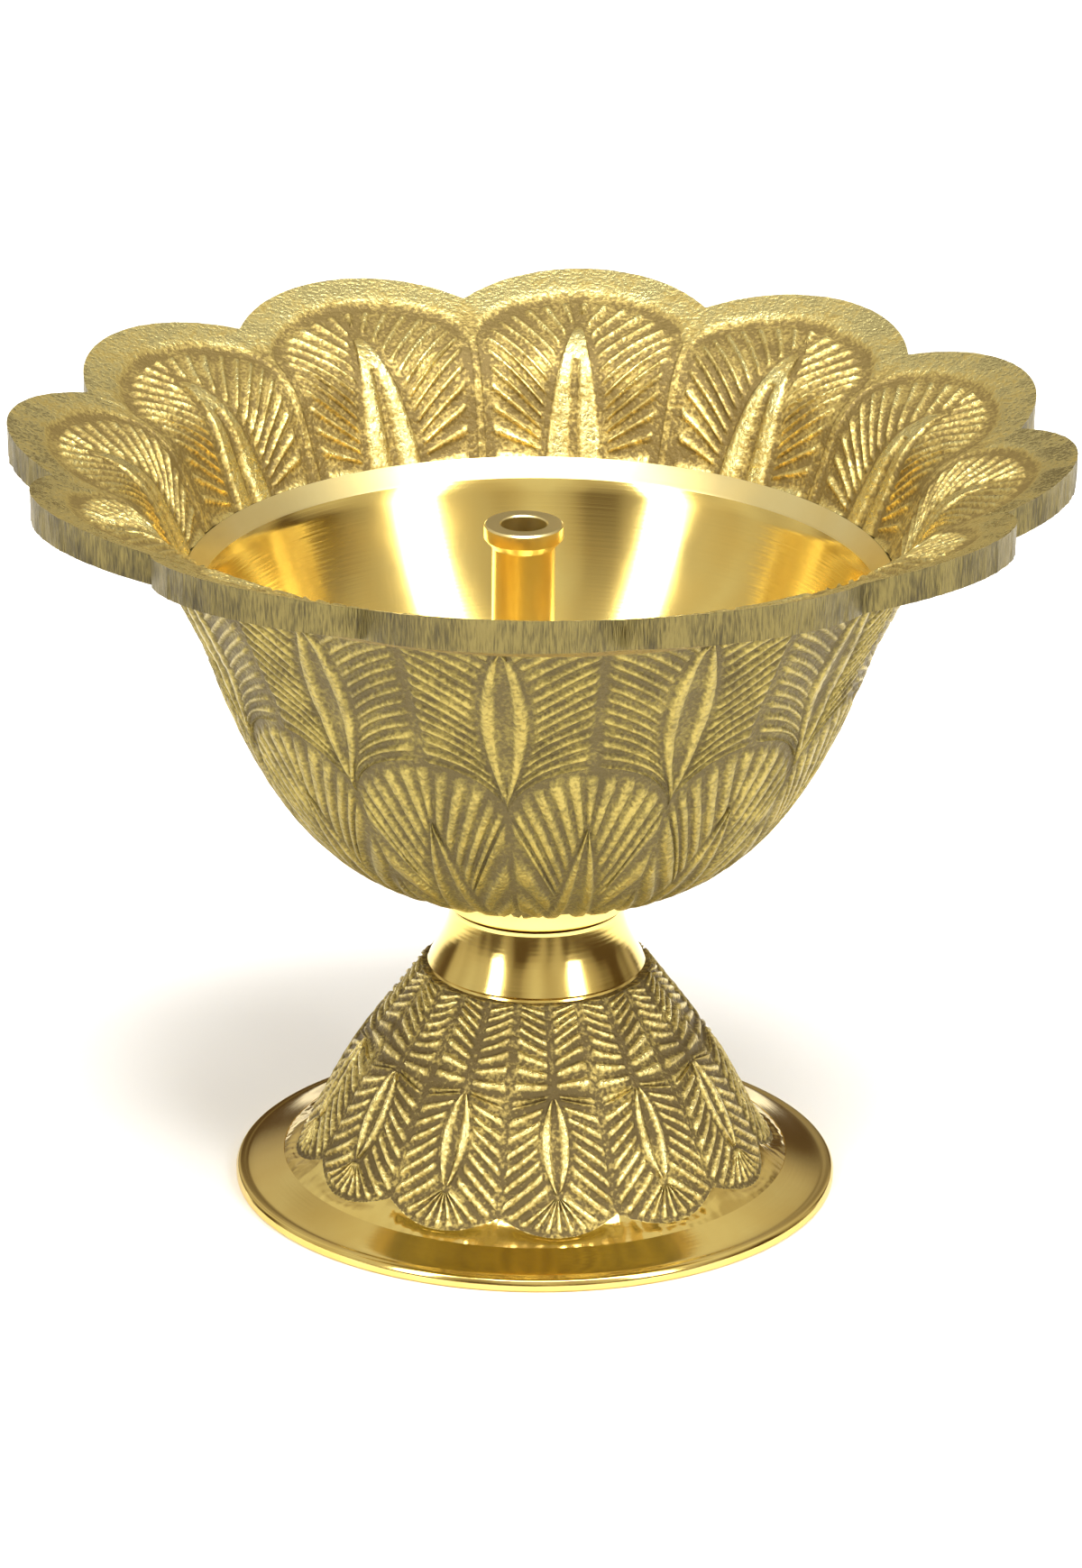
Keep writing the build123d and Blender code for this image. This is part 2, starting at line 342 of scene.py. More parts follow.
# Sand-cast yellow brass: bright where hands wore it, olive brown and duller than metal
# where the patina stayed. Its skin is sandy, with grains about 0.35 mm across, and
# patchy in spots of about 4 mm. The three colours are its crests, its body and its
# recesses; stretch draws the grain out along a file's strokes.
def cast_brass(name, crest, body, deep, shine, grain_depth, stretch=(1, 1, 1)):
    material = bpy.data.materials.new(name)
    material.use_nodes = True
    tree = material.node_tree
    shader = tree.nodes["Principled BSDF"]
    place = add(tree, "ShaderNodeTexCoord").outputs["Object"]
    drawn = add(tree, "ShaderNodeVectorMath", {0: place, 1: stretch}, operation="MULTIPLY").outputs[0]
    worn = add(tree, "ShaderNodeAttribute", attribute_name="patina").outputs["Fac"]
    grain = add(tree, "ShaderNodeTexNoise", {"Vector": drawn, "Scale": 1 / (0.35 * MM), "Detail": 5.0})
    blotch = add(tree, "ShaderNodeTexNoise", {"Vector": place, "Scale": 1 / (4 * MM), "Detail": 4.0})
    speckled = add(tree, "ShaderNodeMath", {
        0: grain.outputs["Fac"], 1: 2.3, 2: worn,
    }, operation="MULTIPLY_ADD")
    patchy = add(tree, "ShaderNodeMath", {
        0: blotch.outputs["Fac"], 1: 1.2, 2: speckled.outputs[0],
    }, operation="MULTIPLY_ADD")
    dirt = add(tree, "ShaderNodeMapRange", {"Value": patchy.outputs[0], "From Min": 1.52, "From Max": 2.7})
    ramp = add(tree, "ShaderNodeValToRGB", {"Fac": dirt.outputs["Result"]})
    ramp.color_ramp.elements[0].position = 0.0
    ramp.color_ramp.elements[0].color = colour(crest)
    ramp.color_ramp.elements[1].position = 1.0
    ramp.color_ramp.elements[1].color = colour(deep)
    ramp.color_ramp.elements.new(0.5).color = colour(body)
    gloss = add(tree, "ShaderNodeMapRange", {
        "Value": dirt.outputs["Result"], "To Min": shine, "To Max": 0.6,
    })
    metal = add(tree, "ShaderNodeMapRange", {
        "Value": dirt.outputs["Result"], "To Min": 1.0, "To Max": 0.45,
    })
    bump = add(tree, "ShaderNodeBump", {
        "Height": grain.outputs["Fac"], "Strength": 0.7, "Distance": grain_depth * MM,
    })
    tree.links.new(ramp.outputs["Color"], shader.inputs["Base Color"])
    tree.links.new(gloss.outputs["Result"], shader.inputs["Roughness"])
    tree.links.new(metal.outputs["Result"], shader.inputs["Metallic"])
    tree.links.new(bump.outputs["Normal"], shader.inputs["Normal"])
    return material


# The foot is the part that is held, so its ridges are the brightest and glossiest.
worn_brass = cast_brass("yellow_brass_cast_and_worn", "#F0DE96", "#B7A25A", "#62522B", 0.22, 0.24)

bell_at, bell_put, bell_height, bell_end = along(bell_line, 1)
CUSP = bell_height(13.1)           # where two scallops of the upper tier meet
SCALLOP = bell_height(12.3)        # their lowest points, between the ogives
OGIVE_END = bell_height(5.8)
HEM_MIDDLE = bell_height(2.95)     # the engraving's lower edge, below an ogive
HEM_SIDE = bell_height(4.1)
UPPER_ROWS, UPPER_BARBS = 54, 9
SIDE_ROWS, HEM_ROWS = 52, 36
LOWER_ROWS, LOWER_BARBS = SIDE_ROWS + HEM_ROWS, 11


def inset_strand(start, edge, margin):
    """A straight strand that passes to its next span a little inside each of its ends."""
    run, fall = edge[0] - start[0], edge[1] - start[1]
    share = min(0.4, margin / max(margin, hypot(run, fall)))
    return [
        start, (start[0] + share * run, start[1] + share * fall),
        (edge[0] - share * run, edge[1] - share * fall), edge,
    ]


def upper_bell_strand(row):
    """From the middle of a scallop, out and down to the line between two scallops."""
    share = row / UPPER_ROWS
    edge = SCALLOP * share - 2.2 * sin(pi * share) ** 0.8
    return inset_strand((0, CUSP * share), (bell_at(edge)[0] * HALF, edge), 0.3)


def upper_bell_relief(row, span, share):
    """Barbs between plain lines."""
    if span != 1 or row in (0, UPPER_ROWS):
        return -BELL_SUNK * GROOVE_DEPTH, 0.9
    crest = ridge(row / UPPER_ROWS * UPPER_BARBS)
    crest *= smooth_step(0, 0.1, share) * smooth_step(1, 0.9, share)
    return GROOVE_DEPTH * (crest - BELL_SUNK), 1 - crest


def hem(row):
    """The engraving's scalloped lower edge, from between two ogives to below one."""
    share = (row - SIDE_ROWS) / HEM_ROWS
    down = HEM_SIDE + (HEM_MIDDLE - HEM_SIDE) * sin(share * pi / 2)
    return bell_at(down)[0] * HALF * (1 - share), down


def lower_bell_strand(row):
    """From the middle of an ogive, over its leaf, to the line between two ogives or the hem."""
    share = row / LOWER_ROWS
    down = CUSP + (OGIVE_END - CUSP) * min(1.0, share / 0.72) ** 1.1
    if row <= SIDE_ROWS:
        side = SCALLOP + (HEM_SIDE - SCALLOP) * row / SIDE_ROWS
        edge = (bell_at(side)[0] * HALF, side)
    else:
        edge = hem(row)
    width = lens((down - CUSP) / (OGIVE_END - CUSP), 1.2)
    return [(0, down), *inset_strand((width, down), edge, 0.3)]


def lower_bell_relief(row, span, share):
    """A slim leaf with a sunk middle, then barbs between plain lines."""
    if span == 0:
        crest = smooth_step(0.25, 0.55, share) * smooth_step(1.05, 0.85, share)
        if not 2 < row < 0.7 * LOWER_ROWS:
            crest = 0
        return GROOVE_DEPTH * (crest - BELL_SUNK), 1 - crest
    if span != 2 or row == 0:
        return -BELL_SUNK * GROOVE_DEPTH, 0.9
    crest = ridge(row / LOWER_ROWS * LOWER_BARBS)
    crest *= smooth_step(0, 0.08, share) * smooth_step(1, 0.92, share)
    return GROOVE_DEPTH * (crest - BELL_SUNK), 1 - crest


def border_strand(row):
    """From the hem down to the flange."""
    return [hem(SIDE_ROWS + row), (bell_at(bell_end)[0] * HALF * (1 - row / HEM_ROWS), bell_end)]


def border_relief(row, span, share):
    """A polished slope that comes up out of the engraving."""
    return -BELL_SUNK * GROOVE_DEPTH * (1 - smooth_step(0, 0.5, share)), 0.0


rough_hand = random.Random(7)    # the small differences from leaf to leaf
bm, patina = new_skin()
for number in range(LEAVES):
    middle = FOOT_TURN + 2 * HALF * number
    for side in (-1, 1):
        weave(bm, patina, UPPER_ROWS, (2, 11, 3), upper_bell_strand, upper_bell_relief,
              bell_put, bell_at, middle, side, rough_hand.uniform(-3, 3))
        weave(bm, patina, LOWER_ROWS, (7, 2, 11, 3), lower_bell_strand, lower_bell_relief,
              bell_put, bell_at, middle, side, rough_hand.uniform(-4, 4))
        weave(bm, patina, HEM_ROWS, (4,), border_strand, border_relief,
              bell_put, bell_at, middle, side, material=1)
weld(bm)
top, bottom = rim_loops(bm)
bottom = draw_out(bm, bottom, inward(0.9))
for height in (3.0, 6.0, 9.0, 12.0, 15.0, 18.0):
    bottom = draw_out(bm, bottom, lambda place: bell_put(
        atan2(place.y, place.x), bell_height(height), -0.55
    ))
top = draw_out(bm, top, inward(0.8))
bmesh.ops.bridge_loops(bm, edges=top + bottom)
finish_piece("foot_engraved_bell", bm, [worn_brass, polished_brass], "foot", "foot",
             crease=70)


# ---- Leather washer at the neck, dark as painted shade -------------------------------
# A thin disc punched from dark red-brown leather. It keeps the screwed joint from
# ringing and from working loose. Its dark colour is painted shade: it draws the shadow in the gap between
# the bowl and the neck as a fine dark line under the bowl.
BOWL_SEAT = 25.4                 # the top of the washer, on which the bowl sits

# Oiled cowhide: a dull, even brown with stains about 2 mm across. Its pores are finer
# than the 0.3 mm that they are drawn at, so that they show. On the washer at the neck
# this dark brown is also painted shade, for the shadow line of the joint.
hide_and_joint_shade = bpy.data.materials.new("punched_hide_and_painted_joint_shadow")
hide_and_joint_shade.use_nodes = True
tree = hide_and_joint_shade.node_tree
shader = tree.nodes["Principled BSDF"]
place = add(tree, "ShaderNodeTexCoord").outputs["Object"]
pores = add(tree, "ShaderNodeTexVoronoi", {"Vector": place, "Scale": 1 / (0.3 * MM)})
stain = add(tree, "ShaderNodeTexNoise", {"Vector": place, "Scale": 1 / (2 * MM), "Detail": 3.0})
# These dark browns also serve as painted shade where the washer draws the neck joint's shadow line.
hide_and_shade_colour = add(tree, "ShaderNodeMix", {
    0: stain.outputs["Fac"], 6: colour("#5A2C1B"), 7: colour("#34180F"),
}, data_type="RGBA")
bump = add(tree, "ShaderNodeBump", {
    "Height": pores.outputs["Distance"], "Strength": 0.5, "Distance": 0.04 * MM,
})
tree.links.new(hide_and_shade_colour.outputs[2], shader.inputs["Base Color"])
tree.links.new(bump.outputs["Normal"], shader.inputs["Normal"])
shader.inputs["Roughness"].default_value = 0.62


def punched(radius, hole, bottom, top, offset=0.0):
    """A soft-edged disc with a hole, spun about an upright axis."""
    soft = 0.25 * (top - bottom)
    bm = bmesh.new()
    turn(bm, [
        (hole, bottom), (radius - soft, bottom), (radius, bottom + soft), (radius, top - soft),
        (radius - soft, top), (hole, top),
    ], offset)
    return bm


# This washer's dark brown is painted shade: the shadow line in the gap under the bowl.
finish_piece("joint_washer_painted_shadow_line", punched(7.0, STUD_HOLE, FOOT_HEIGHT, BOWL_SEAT), [hide_and_joint_shade],
             "neck_washer", "joint_washer")


# ---- Engraved brim of the bowl -------------------------------------------------------
# The brim flares out like a trumpet and was sawn and filed into twelve round petals.
# Each petal has an arch outline, with a pointed leaf and a fan of grooves inside it and
# a rough sandy border outside it. The fan's grooves are wide and its ridges thin.
RING_EDGE = (29.859, 54.754)     # outer edge of the lip ring
PETAL_TIP = (45.0, 67.154)
RIM_HEIGHT = 2.9
NOTCH_RADIUS = 41.1
MOUTH = (28.8, 50.2)
WALL_TOP = 60.0                  # the wall's engraving ends here, under the brim
WALL_TOP_RADIUS = 34.2
BRIM_SKIN = 0.6                  # the hidden back of the brim lies this far inside the metal


def bent(low, low_slope, high, high_slope, bend, steps=14):
    """A line, a round bend and a line, from low to high, with the slopes of the two lines."""
    first, last = radians(low_slope), radians(high_slope)
    reach = (high[1] - low[1] + tan(first) * low[0] - tan(last) * high[0]) / (tan(first) - tan(last))
    corner = (reach, low[1] + tan(first) * (reach - low[0]))
    inset = bend * tan((first - last) / 2)
    start = (corner[0] - inset * cos(first), corner[1] - inset * sin(first))
    centre = (start[0] + bend * sin(first), start[1] - bend * cos(first))
    slopes = [first + (last - first) * step / steps for step in range(steps + 1)]
    arc = [(centre[0] - bend * sin(slope), centre[1] + bend * cos(slope)) for slope in slopes]
    return [low, *arc, high]


brim_at, brim_put, _, brim_end = along(bent(RING_EDGE, 66.0, PETAL_TIP, 20.5, 7.0), 1)
under_brim = bent(MOUTH, 63.6, (PETAL_TIP[0], PETAL_TIP[1] - RIM_HEIGHT), 17.5, 8.0)
under_at, under_put, _, under_end = along(under_brim, -1)


def distance_at_radius(at, end, radius):
    """The distance along a surface at which it reaches a radius, by halving."""
    low, high = 0.0, end
    for _ in range(40):
        middle = (low + high) / 2
        low, high = (middle, high) if at(middle)[0] < radius else (low, middle)
    return (low + high) / 2


NOTCH = distance_at_radius(brim_at, brim_end, NOTCH_RADIUS)
WIDEST = distance_at_radius(brim_at, brim_end, 36.0)
ARCH_TOP = distance_at_radius(brim_at, brim_end, 41.3)
LEAF_TIP = distance_at_radius(brim_at, brim_end, 38.6)
BRIM_ROWS, WIDEST_ROW, NOTCH_ROW, BRIM_GROOVES = 104, 46, 64, 13
ARC_RADIUS = 13.32               # of a petal's round edge
ARC_HALF = radians(53.0)         # the angle of that edge, from the petal's tip to a notch
FILED_OFF = 0.05                 # what the file took off the drawn size of the round edges
ARC_CENTRE = PETAL_TIP[0] - FILED_OFF - ARC_RADIUS
ARCH_MARGIN = 0.35               # from the line between two petals to an arch
OUTLINE = 0.75                   # width of the arch outline


def petal_edge(row):
    """Where a petal ends: its side up to the notch, then its round edge."""
    if row <= WIDEST_ROW:
        down = WIDEST * (row / WIDEST_ROW) ** 0.85
    else:
        down = WIDEST + (NOTCH - WIDEST) * (row - WIDEST_ROW) / (NOTCH_ROW - WIDEST_ROW)
    if row <= NOTCH_ROW:
        return brim_at(down)[0] * HALF, down
    turned = ARC_HALF * (1 - (row - NOTCH_ROW) / (BRIM_ROWS - NOTCH_ROW))
    x, y = ARC_CENTRE + ARC_RADIUS * cos(turned), ARC_RADIUS * sin(turned)
    return hypot(x, y) * atan2(y, x), distance_at_radius(brim_at, brim_end, hypot(x, y))


def petal_arch(row, inset):
    """The arch outline, a distance inside its outer edge."""
    if row <= WIDEST_ROW:
        down = WIDEST * (row / WIDEST_ROW) ** 0.85
        return brim_at(down)[0] * HALF - ARCH_MARGIN - inset, down
    swing = (row - WIDEST_ROW) / (BRIM_ROWS - WIDEST_ROW) * pi / 2
    width = brim_at(WIDEST)[0] * HALF - ARCH_MARGIN - inset
    return width * cos(swing), WIDEST + (ARCH_TOP - WIDEST - inset) * sin(swing)


def petal_strand(row, lean):
    """From the middle of a petal, over its leaf, its fan and its outline, to its edge."""
    share = row / BRIM_ROWS
    down = LEAF_TIP * share**1.3
    middle = lean * smooth_step(0, 1, share)
    width = closed_below(2.35 * (1 - (down / LEAF_TIP) ** 1.7))
    inner, outer = petal_arch(row, OUTLINE), petal_arch(row, 0)
    run, fall = inner[0] - middle - width, inner[1] - down
    close = 0.7 / hypot(run, fall)
    beside_leaf = (middle + width + close * run, down + close * fall)
    return [(middle, down), (middle + width, down), beside_leaf, inner, outer, petal_edge(row)]


def petal_relief(row, span, share):
    """Two smooth bands in the leaf, thin ridges in the fan, a plain sandy border."""
    up = row / BRIM_ROWS
    if span == 0:
        groove = smooth_step(0.16, 0.3, share) if up < 0.7 else 1 - smooth_step(0.86, 0.97, up)
        crest = groove * smooth_step(1.0, 0.86, share) * smooth_step(1.0, 0.9, up)
        return GROOVE_DEPTH * (crest - 1), 0.85 * (1 - crest)
    if span in (1, 3):
        return -GROOVE_DEPTH, 0.95
    if span == 2:
        crest = ridge(up * BRIM_GROOVES, 0.5)
        crest *= smooth_step(0, 0.06, share) * smooth_step(1, 0.97, share)
        return GROOVE_DEPTH * (crest - 1), 0.85 - 0.75 * crest
    rise = smooth_step(0, 0.25, share) * (0.35 + 0.65 * smooth_step(WIDEST_ROW, NOTCH_ROW, row))
    return GROOVE_DEPTH * (rise - 1), 0.95 - 0.95 * rise


# The petals' fronts were chased after casting and rubbed bright on the ridges.
chased_brass = cast_brass("yellow_brass_cast_and_chased", "#D7C988", "#A69150", "#685627", 0.24, 0.2)
# The cut edge was sawn and filed, and has gone grey brown in upright strokes.
filed_brass = cast_brass("yellow_brass_sawn_and_filed", "#776B41", "#534A2C", "#2E271B", 0.36, 0.3,
                         (2.2, 2.2, 0.25))
# The underside of the brim was left as it came out of the sand, so it is dull.
dull_brass = cast_brass("yellow_brass_as_cast", "#A8925A", "#837144", "#54462A", 0.38, 0.2)

bm, patina = new_skin()
for number in range(LEAVES):
    lean = rough_hand.uniform(-0.7, 0.7)
    for side in (-1, 1):
        weave(bm, patina, BRIM_ROWS, (8, 3, 14, 4, 5), lambda row: petal_strand(row, side * lean),
              petal_relief, brim_put, brim_at, 2 * HALF * number, side, rough_hand.uniform(-3, 3))
weld(bm)
inner, outer = rim_loops(bm)


def under(place, target, share):
    """A point of the underside, drawn in from the cut edge towards a radius."""
    reach = place.xy.length / MM
    reach += share * (target - reach)
    down = distance_at_radius(under_at, under_end, reach)
    return under_put(atan2(place.y, place.x), down, 0)


def nicked(place, share):
    """A point of the cut edge, a share of the way down, where the file left it uneven."""
    bottom = under(place, 0, 0)
    return inward(rough_hand.uniform(0.0, 0.07))(place.lerp(bottom, share))


for share in (0.04, 0.32, 0.48, 0.92):
    outer = draw_out(bm, outer, lambda place: nicked(place, share), 1)
outer = draw_out(bm, outer, lambda place: under(place, 0, 0), 1)
for share in (0.15, 0.35, 0.6, 1.0):
    outer = draw_out(bm, outer, lambda place: under(place, WALL_TOP_RADIUS, share), 2)
for down in (7.0, 5.0, 3.0, 1.0):
    outer = draw_out(bm, outer, lambda place: brim_put(atan2(place.y, place.x), down, -BRIM_SKIN), 2)
inner = draw_out(bm, inner, lambda place: brim_put(atan2(place.y, place.x), 0.1, -BRIM_SKIN), 2)
bmesh.ops.bridge_loops(bm, edges=inner + outer)
finish_piece("bowl_engraved_brim", bm, [chased_brass, filed_brass, dull_brass], "bowl", "bowl",
             crease=60)


# ---- Engraved wall of the bowl -------------------------------------------------------
# Below the brim the bowl's wall has two tiers of cast and chased leaves. Under each
# petal stands a tall ogive between curved barbs; below them, half a leaf round, fans of
# wide grooves open over short leaves that reach down to the base ring.
BASE_RING = (7.9, 27.0)          # where the wall meets the base ring
BELLY_LOW = 27.6                 # the height that the belly's curve starts from
BELLY_START, BELLY_STEPS = 0.36, 40
belly_line = []
for step in range(BELLY_STEPS + 1):
    share = BELLY_START + (1 - BELLY_START) * step / BELLY_STEPS
    belly_line.append((MOUTH[0] * share, BELLY_LOW + (MOUTH[1] - BELLY_LOW) * share**3.8))
wall_line = [BASE_RING, *belly_line, *[point for point in under_brim[1:] if point[1] < WALL_TOP + 2]]
wall_at, wall_put, wall_height, _ = along(wall_line, -1)
VALLEY = wall_height(42.2)       # between two fans, under a petal's middle
APEX = wall_height(47.6)         # the top of a fan
FAN_LEAF_TIP = wall_height(41.4)
OGIVE_FOOT = wall_height(43.0)
WALL_EDGE = wall_height(WALL_TOP)
BARB_RISE = 5.5                  # the barbs' outer ends stand this far above their inner ends
BARB_ROWS, BARBS = 98, 14
FULL_ROWS = round(BARB_ROWS * (1 - BARB_RISE / (WALL_EDGE - VALLEY)))
FAN_SIDE_ROWS, FAN_ARCH_ROWS, FAN_GROOVES = 32, 48, 10
FAN_ROWS = FAN_SIDE_ROWS + FAN_ARCH_ROWS
LEAF_TURN = 0.55                 # the share of a fan's leaf that lies beside its straight side
WALL_SKIN = 0.5                  # the hidden back of the wall lies this far inside the metal

# The wall was never rubbed, so it stays darker and duller than the petals and the foot.
old_brass = cast_brass("yellow_brass_cast_and_darkened", "#A69553", "#80723A", "#5C4F29", 0.34, 0.26)


def swell(share):
    """How much a fan's round top stands above a straight line, from valley to apex."""
    return (max(0.0, share * (2 - share))) ** 0.5 - share


def barb_strand(row):
    """From the middle of an ogive, over its leaf, to the line between two petals or the brim."""
    share = row / BARB_ROWS
    down = VALLEY + (WALL_EDGE - VALLEY) * share
    if row <= FULL_ROWS:
        side = APEX + (WALL_EDGE - APEX) * row / FULL_ROWS
        edge = (wall_at(side)[0] * HALF, side)
    else:
        edge = (wall_at(WALL_EDGE)[0] * HALF * (BARB_ROWS - row) / (BARB_ROWS - FULL_ROWS), WALL_EDGE)
    width = min(edge[0], lens((down - OGIVE_FOOT) / (WALL_EDGE - OGIVE_FOOT), 2.05))
    return [(0, down), *inset_strand((width, down), edge, 0.4)]


def barb_bow(row, share):
    """How far down the barbs are pushed by the round tops of the fans below them."""
    return (APEX - VALLEY) * (1 - row / BARB_ROWS) * swell(min(1.0, share))


def barb_relief(row, span, share):
    """A leaf with a sunk middle, then barbs between plain lines."""
    up = row / BARB_ROWS
    if row in (0, BARB_ROWS):
        return -GROOVE_DEPTH, 0.9
    if span == 0:
        crest = smooth_step(0.3, 0.5, share) * smooth_step(1.02, 0.88, share)
        crest = max(crest, 1 - smooth_step(0.1, 0.22, up)) * smooth_step(0.03, 0.1, up)
        return GROOVE_DEPTH * (crest - 1), 0.85 - 0.85 * crest
    if span != 2:
        return -GROOVE_DEPTH, 0.95
    crest = ridge(up * BARBS) * smooth_step(0, 0.06, share) * smooth_step(1, 0.92, share)
    return GROOVE_DEPTH * (crest - 1), 0.85 - 0.8 * crest


def fan_strand(row):
    """From the middle of a fan, over its short leaf, to its straight side or its round top."""
    if row <= FAN_SIDE_ROWS:
        share = row / FAN_SIDE_ROWS
        side = VALLEY * share
        edge = (wall_at(side)[0] * HALF, side)
        down = LEAF_TURN * FAN_LEAF_TIP * share**1.1
    else:
        share = (row - FAN_SIDE_ROWS) / FAN_ARCH_ROWS
        rest = smooth_step(0, 1.25, share) / smooth_step(0, 1.25, 1)
        down = FAN_LEAF_TIP * (LEAF_TURN + (1 - LEAF_TURN) * rest)
        swing = share * pi / 2
        side = VALLEY + (APEX - VALLEY) * sin(swing)
        edge = (wall_at(side)[0] * HALF * cos(swing), side)
    width = closed_below(1.8 * (1 - (down / FAN_LEAF_TIP) ** 3))
    return [(0, down), *inset_strand((width, down), edge, 0.45)]


def fan_relief(row, span, share):
    """A leaf with a sunk middle, then a fan's wide grooves."""
    if row == 0:
        return -GROOVE_DEPTH, 0.9
    if span == 0:
        crest = smooth_step(0.3, 0.45, share) * smooth_step(1.02, 0.88, share)
        return GROOVE_DEPTH * (crest - 1), 0.85 - 0.85 * crest
    if span != 2:
        return -GROOVE_DEPTH, 0.95
    crest = ridge(row / FAN_ROWS * FAN_GROOVES, 0.25)
    crest *= smooth_step(0, 0.12, share) * smooth_step(1, 0.93, share)
    return GROOVE_DEPTH * (crest - 1), 0.85 - 0.8 * crest


def behind_wall(place, least):
    """The point of the wall's hidden back beside a point, but no lower than a distance up it."""
    height = min(WALL_TOP + 1, max(BASE_RING[1] + 0.01, place.z / MM))
    up = min(WALL_EDGE, max(least, wall_height(height)))
    return wall_put(atan2(place.y, place.x), up, -WALL_SKIN)


def close_wall(bm, limits):
    """Welds a tier of the wall and closes it with a hidden surface inside the metal."""
    weld(bm)
    low, high = rim_loops(bm)
    for limit in limits:
        low = draw_out(bm, low, lambda place: behind_wall(place, limit))
    high = draw_out(bm, high, inward(WALL_SKIN))
    bmesh.ops.bridge_loops(bm, edges=low + high)
    bmesh.ops.dissolve_degenerate(bm, edges=bm.edges, dist=1e-7)


bm, patina = new_skin()
for number in range(LEAVES):
    for side in (-1, 1):
        weave(bm, patina, BARB_ROWS, (6, 2, 12, 3), barb_strand, barb_relief, wall_put, wall_at,
              2 * HALF * number, side, rough_hand.uniform(-3, 3), barb_bow)
close_wall(bm, (0, APEX, APEX + 3, APEX + 6, WALL_EDGE - 2))
finish_piece("bowl_wall_ogives", bm, [old_brass], "bowl", "bowl", crease=70)

bm, patina = new_skin()
for number in range(LEAVES):
    for side in (-1, 1):
        weave(bm, patina, FAN_ROWS, (6, 2, 11, 3), fan_strand, fan_relief, wall_put, wall_at,
              HALF + 2 * HALF * number, side, rough_hand.uniform(-3, 3))
close_wall(bm, (0, 5, 10, 15, 18, 20))
finish_piece("bowl_wall_fans", bm, [old_brass], "bowl", "bowl", crease=70)


# ---- Turned cup, lip ring, boss and base ring of the bowl ----------------------------
# The cup that holds the oil was turned and polished to a mirror, with a narrow bevelled
# lip where the brim begins. A boss stands on its floor for the stem, and a plain ring
# below takes the joining stud and sits on the washer.
CUP_FLOOR = 30.8
CUP_FLAT = 0.2                   # the share of the cup's radius where its curve begins
LIP = (28.6, 53.2)
BOSS_RADIUS, BOSS_TOP, BOSS_BREAK = 4.9, 33.2, 0.2
BOSS_FOOT = CUP_FLOOR - 0.5      # let into the cup's floor
STEM_X = -1.35                   # the boss's hole is that far off the lamp's axis
TAIL_HOLE = 1.56


def shell(points, facing, depth):
    """A closed outline: a line and the same line a depth behind it."""
    _, put, _, end = along(points, facing)
    behind = [put(0, end * step / 60, -depth) / MM for step in range(61)]
    return [*points, *[(point.x, point.z) for point in reversed(behind)]]


cup_line = [(4.2, CUP_FLOOR)]
for step in range(49):
    share = CUP_FLAT + (1 - CUP_FLAT) * step / 48
    rise = (share**3.2 - CUP_FLAT**3.2) / (1 - CUP_FLAT**3.2)
    cup_line.append((LIP[0] * share, CUP_FLOOR + (LIP[1] - CUP_FLOOR) * rise))
cup_line += [(28.75, 53.36), (29.7, 54.57), (29.87, 54.74)]
bm = bmesh.new()
turn(bm, shell(cup_line, 1, 0.45))
for face in bm.faces:
    if face.calc_center_median().z / MM > LIP[1]:
        face.material_index = 1
finish_piece("bowl_cup", bm, [polished_brass, satin_brass], "bowl", "bowl")

bm = bmesh.new()
turn(bm, [
    (3.0, BOWL_SEAT), (7.75, BOWL_SEAT), (BASE_RING[0], BOWL_SEAT + 0.15), (BASE_RING[0], 26.9),
    (7.95, 27.05), (7.6, 27.4), (5.0, 28.4), (3.0, 28.6),
])
finish_piece("bowl_base_ring", bm, [polished_brass], "bowl", "bowl")

bm = bmesh.new()
turn(bm, [
    (BOSS_RADIUS, BOSS_FOOT), (BOSS_RADIUS, BOSS_TOP - BOSS_BREAK), (BOSS_RADIUS - BOSS_BREAK, BOSS_TOP),
], 0, False, 96)
turn(bm, [
    (TAIL_HOLE + BOSS_BREAK, BOSS_TOP), (TAIL_HOLE, BOSS_TOP - BOSS_BREAK), (TAIL_HOLE, BOSS_FOOT),
], STEM_X, False, 96)
for height in (BOSS_TOP, BOSS_FOOT):
    bmesh.ops.bridge_loops(bm, edges=[
        edge for edge in bm.edges
        if edge.is_boundary and all(abs(vert.co.z / MM - height) < 0.01 for vert in edge.verts)
    ])
finish_piece("bowl_boss", bm, [satin_brass], "bowl", "bowl")


# ---- Joining stud --------------------------------------------------------------------
# A length of brass rod with an M6 thread, fixed for good in the bowl's base. The thread
# is a real helix, so that it shows as one when the lamp is taken apart.
ROD_STEPS = 64
STUD_RADIUS, STUD_ROOT, STUD_PITCH = 3.0, 2.5, 1.0
STUD_BOTTOM, STUD_TOP = 18.0, 28.5


def thread(bm, radius, root, pitch, bottom, top, offset=0.0):
    """A right-hand screw thread round an upright axis, open at both ends."""
    rows = round((top - bottom) / pitch * 8)
    grid = bmesh.ops.create_grid(bm, x_segments=ROD_STEPS, y_segments=rows, size=1.0)
    for vert in grid["verts"]:
        angle = (vert.co.x + 1) * pi
        height = bottom + (vert.co.y + 1) / 2 * (top - bottom)
        phase = height / pitch - angle / (2 * pi)
        crest = abs(2 * (phase - floor(phase)) - 1)
        crest *= smooth_step(0, 0.8 * pitch, top - height) * smooth_step(0, 0.8 * pitch, height - bottom)
        reach = root + (radius - root) * crest
        vert.co = Vector((offset + reach * cos(angle), reach * sin(angle), height)) * MM
    bmesh.ops.remove_doubles(bm, verts=bm.verts, dist=1e-6)


